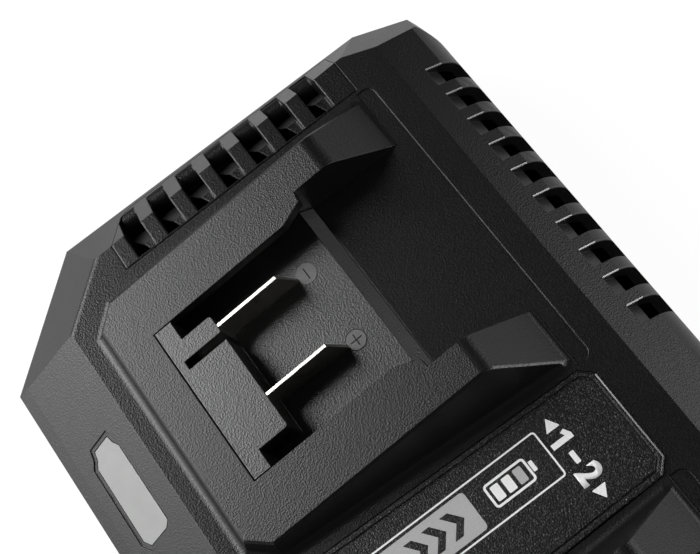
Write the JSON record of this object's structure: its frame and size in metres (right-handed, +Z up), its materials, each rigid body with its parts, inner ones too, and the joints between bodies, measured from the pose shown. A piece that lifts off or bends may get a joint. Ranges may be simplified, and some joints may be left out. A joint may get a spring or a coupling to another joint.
{
  "type": "power tool battery charger",
  "caption": "Twin-bay charger for slide-on power tool batteries: low chamfered case, two raised rail frames with blade terminals, end grilles, rear vents and front light windows.",
  "frame": {"origin": "middle of the charger on the surface it stands on", "axes": "X along the length, +Y from the lamp side to the battery entry side, +Z up"},
  "size_m": [0.302, 0.1668, 0.0701],
  "materials": {
    "housing": "black moulded plastic, fine grain",
    "lower": "black moulded plastic",
    "insert": "black moulded plastic, fine grain",
    "grille": "black moulded plastic",
    "plate": "black, speckled grain",
    "window": "frosted light grey",
    "contact": "nickel plated",
    "board": "green circuit board",
    "core": "ferrite",
    "copper": "enamelled copper",
    "can": "sleeved can",
    "heatsink": "extruded aluminium",
    "component": "moulded component",
    "fuse": "glass",
    "lamp": "clear lamp",
    "wire": "sleeved leads",
    "inlet": "black moulded plastic",
    "screw": "zinc plated",
    "foot": "soft black rubber"
  },
  "bodies": {
    "root": {"upper_housing": "housing", "lower_housing": "lower", "label_plate": "plate", "main_board": "board", "bulk_capacitor": "can", "output_capacitors": "can", "line_choke": "copper", "fuse": "fuse", "power_transistors": "component", "mains_inlet": "inlet", "inlet_pins": "contact", "housing_screws": "screw", "board_screws": "screw", "insert_screws": "screw", "foot_front_left": "foot", "foot_front_right": "foot", "foot_back_left": "foot", "foot_back_right": "foot", "side_grille_left": "grille", "terminal_insert_left": "insert", "negative_blade_left": "contact", "positive_blade_left": "contact", "sense_contact_left": "contact", "terminal_board_left": "board", "output_leads_left": "wire", "light_window_left": "window", "led_board_left": "board", "led_lamps_left": "lamp", "transformer_left": "core", "transformer_winding_left": "copper", "heatsink_left": "heatsink", "side_grille_right": "grille", "terminal_insert_right": "insert", "negative_blade_right": "contact", "positive_blade_right": "contact", "sense_contact_right": "contact", "terminal_board_right": "board", "output_leads_right": "wire", "light_window_right": "window", "led_board_right": "board", "led_lamps_right": "lamp", "transformer_right": "core", "transformer_winding_right": "copper", "heatsink_right": "heatsink"}
  },
  "joints": []
}
